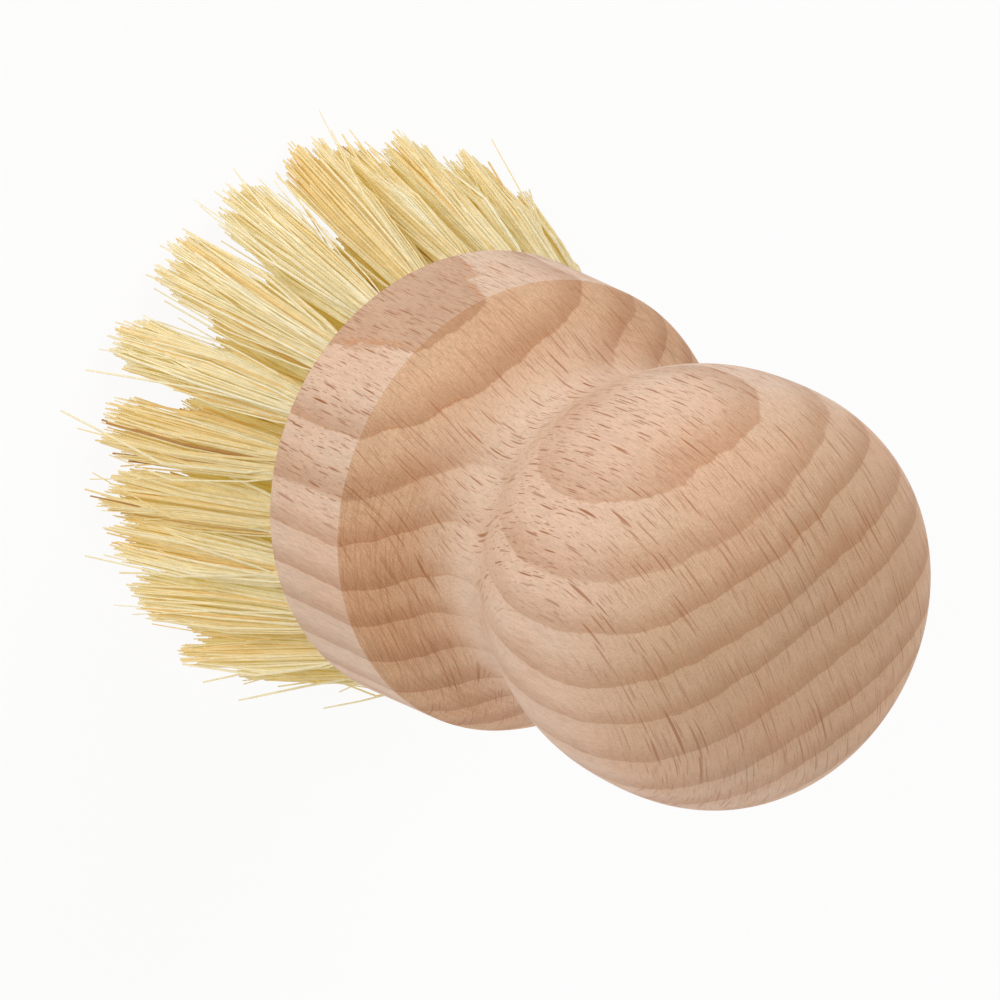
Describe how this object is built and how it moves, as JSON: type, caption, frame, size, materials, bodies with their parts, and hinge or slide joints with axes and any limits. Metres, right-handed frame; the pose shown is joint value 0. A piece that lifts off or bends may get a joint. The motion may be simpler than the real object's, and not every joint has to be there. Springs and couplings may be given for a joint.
{
  "type": "dish brush",
  "caption": "Round dish brush: a turned wooden ball-knob handle with a flat bristle face, set with rings of fanned plant-fibre tufts trimmed level.",
  "frame": {"origin": "on the turning axis, in the plane of the trimmed fibre ends on which the brush stands", "axes": "+Z along the turning axis, from the fibre ends to the end of the knob"},
  "size_m": [0.072, 0.0719, 0.0917],
  "materials": {
    "beech": "raw turned beech, sanded, open pores and ray flecks",
    "fibre": "pale straw-coloured plant fibre, dull sheen, trimmed ends"
  },
  "bodies": {
    "root": {"turned_block": "beech", "tuft_outer_01": "fibre", "tuft_outer_02": "fibre", "tuft_outer_03": "fibre", "tuft_outer_04": "fibre", "tuft_outer_05": "fibre", "tuft_outer_06": "fibre", "tuft_outer_07": "fibre", "tuft_outer_08": "fibre", "tuft_outer_09": "fibre", "tuft_outer_10": "fibre", "tuft_outer_11": "fibre", "tuft_outer_12": "fibre", "tuft_outer_13": "fibre", "tuft_outer_14": "fibre", "tuft_outer_15": "fibre", "tuft_outer_16": "fibre", "tuft_outer_17": "fibre", "tuft_outer_18": "fibre", "tuft_outer_19": "fibre", "tuft_outer_20": "fibre", "tuft_outer_21": "fibre", "tuft_outer_22": "fibre", "tuft_outer_23": "fibre", "tuft_second_01": "fibre", "tuft_second_02": "fibre", "tuft_second_03": "fibre", "tuft_second_04": "fibre", "tuft_second_05": "fibre", "tuft_second_06": "fibre", "tuft_second_07": "fibre", "tuft_second_08": "fibre", "tuft_second_09": "fibre", "tuft_second_10": "fibre", "tuft_second_11": "fibre", "tuft_second_12": "fibre", "tuft_second_13": "fibre", "tuft_second_14": "fibre", "tuft_second_15": "fibre", "tuft_second_16": "fibre", "tuft_third_01": "fibre", "tuft_third_02": "fibre", "tuft_third_03": "fibre", "tuft_third_04": "fibre", "tuft_third_05": "fibre", "tuft_third_06": "fibre", "tuft_third_07": "fibre", "tuft_third_08": "fibre", "tuft_third_09": "fibre", "tuft_third_10": "fibre", "tuft_inner_01": "fibre", "tuft_inner_02": "fibre", "tuft_inner_03": "fibre", "tuft_inner_04": "fibre"}
  },
  "joints": []
}
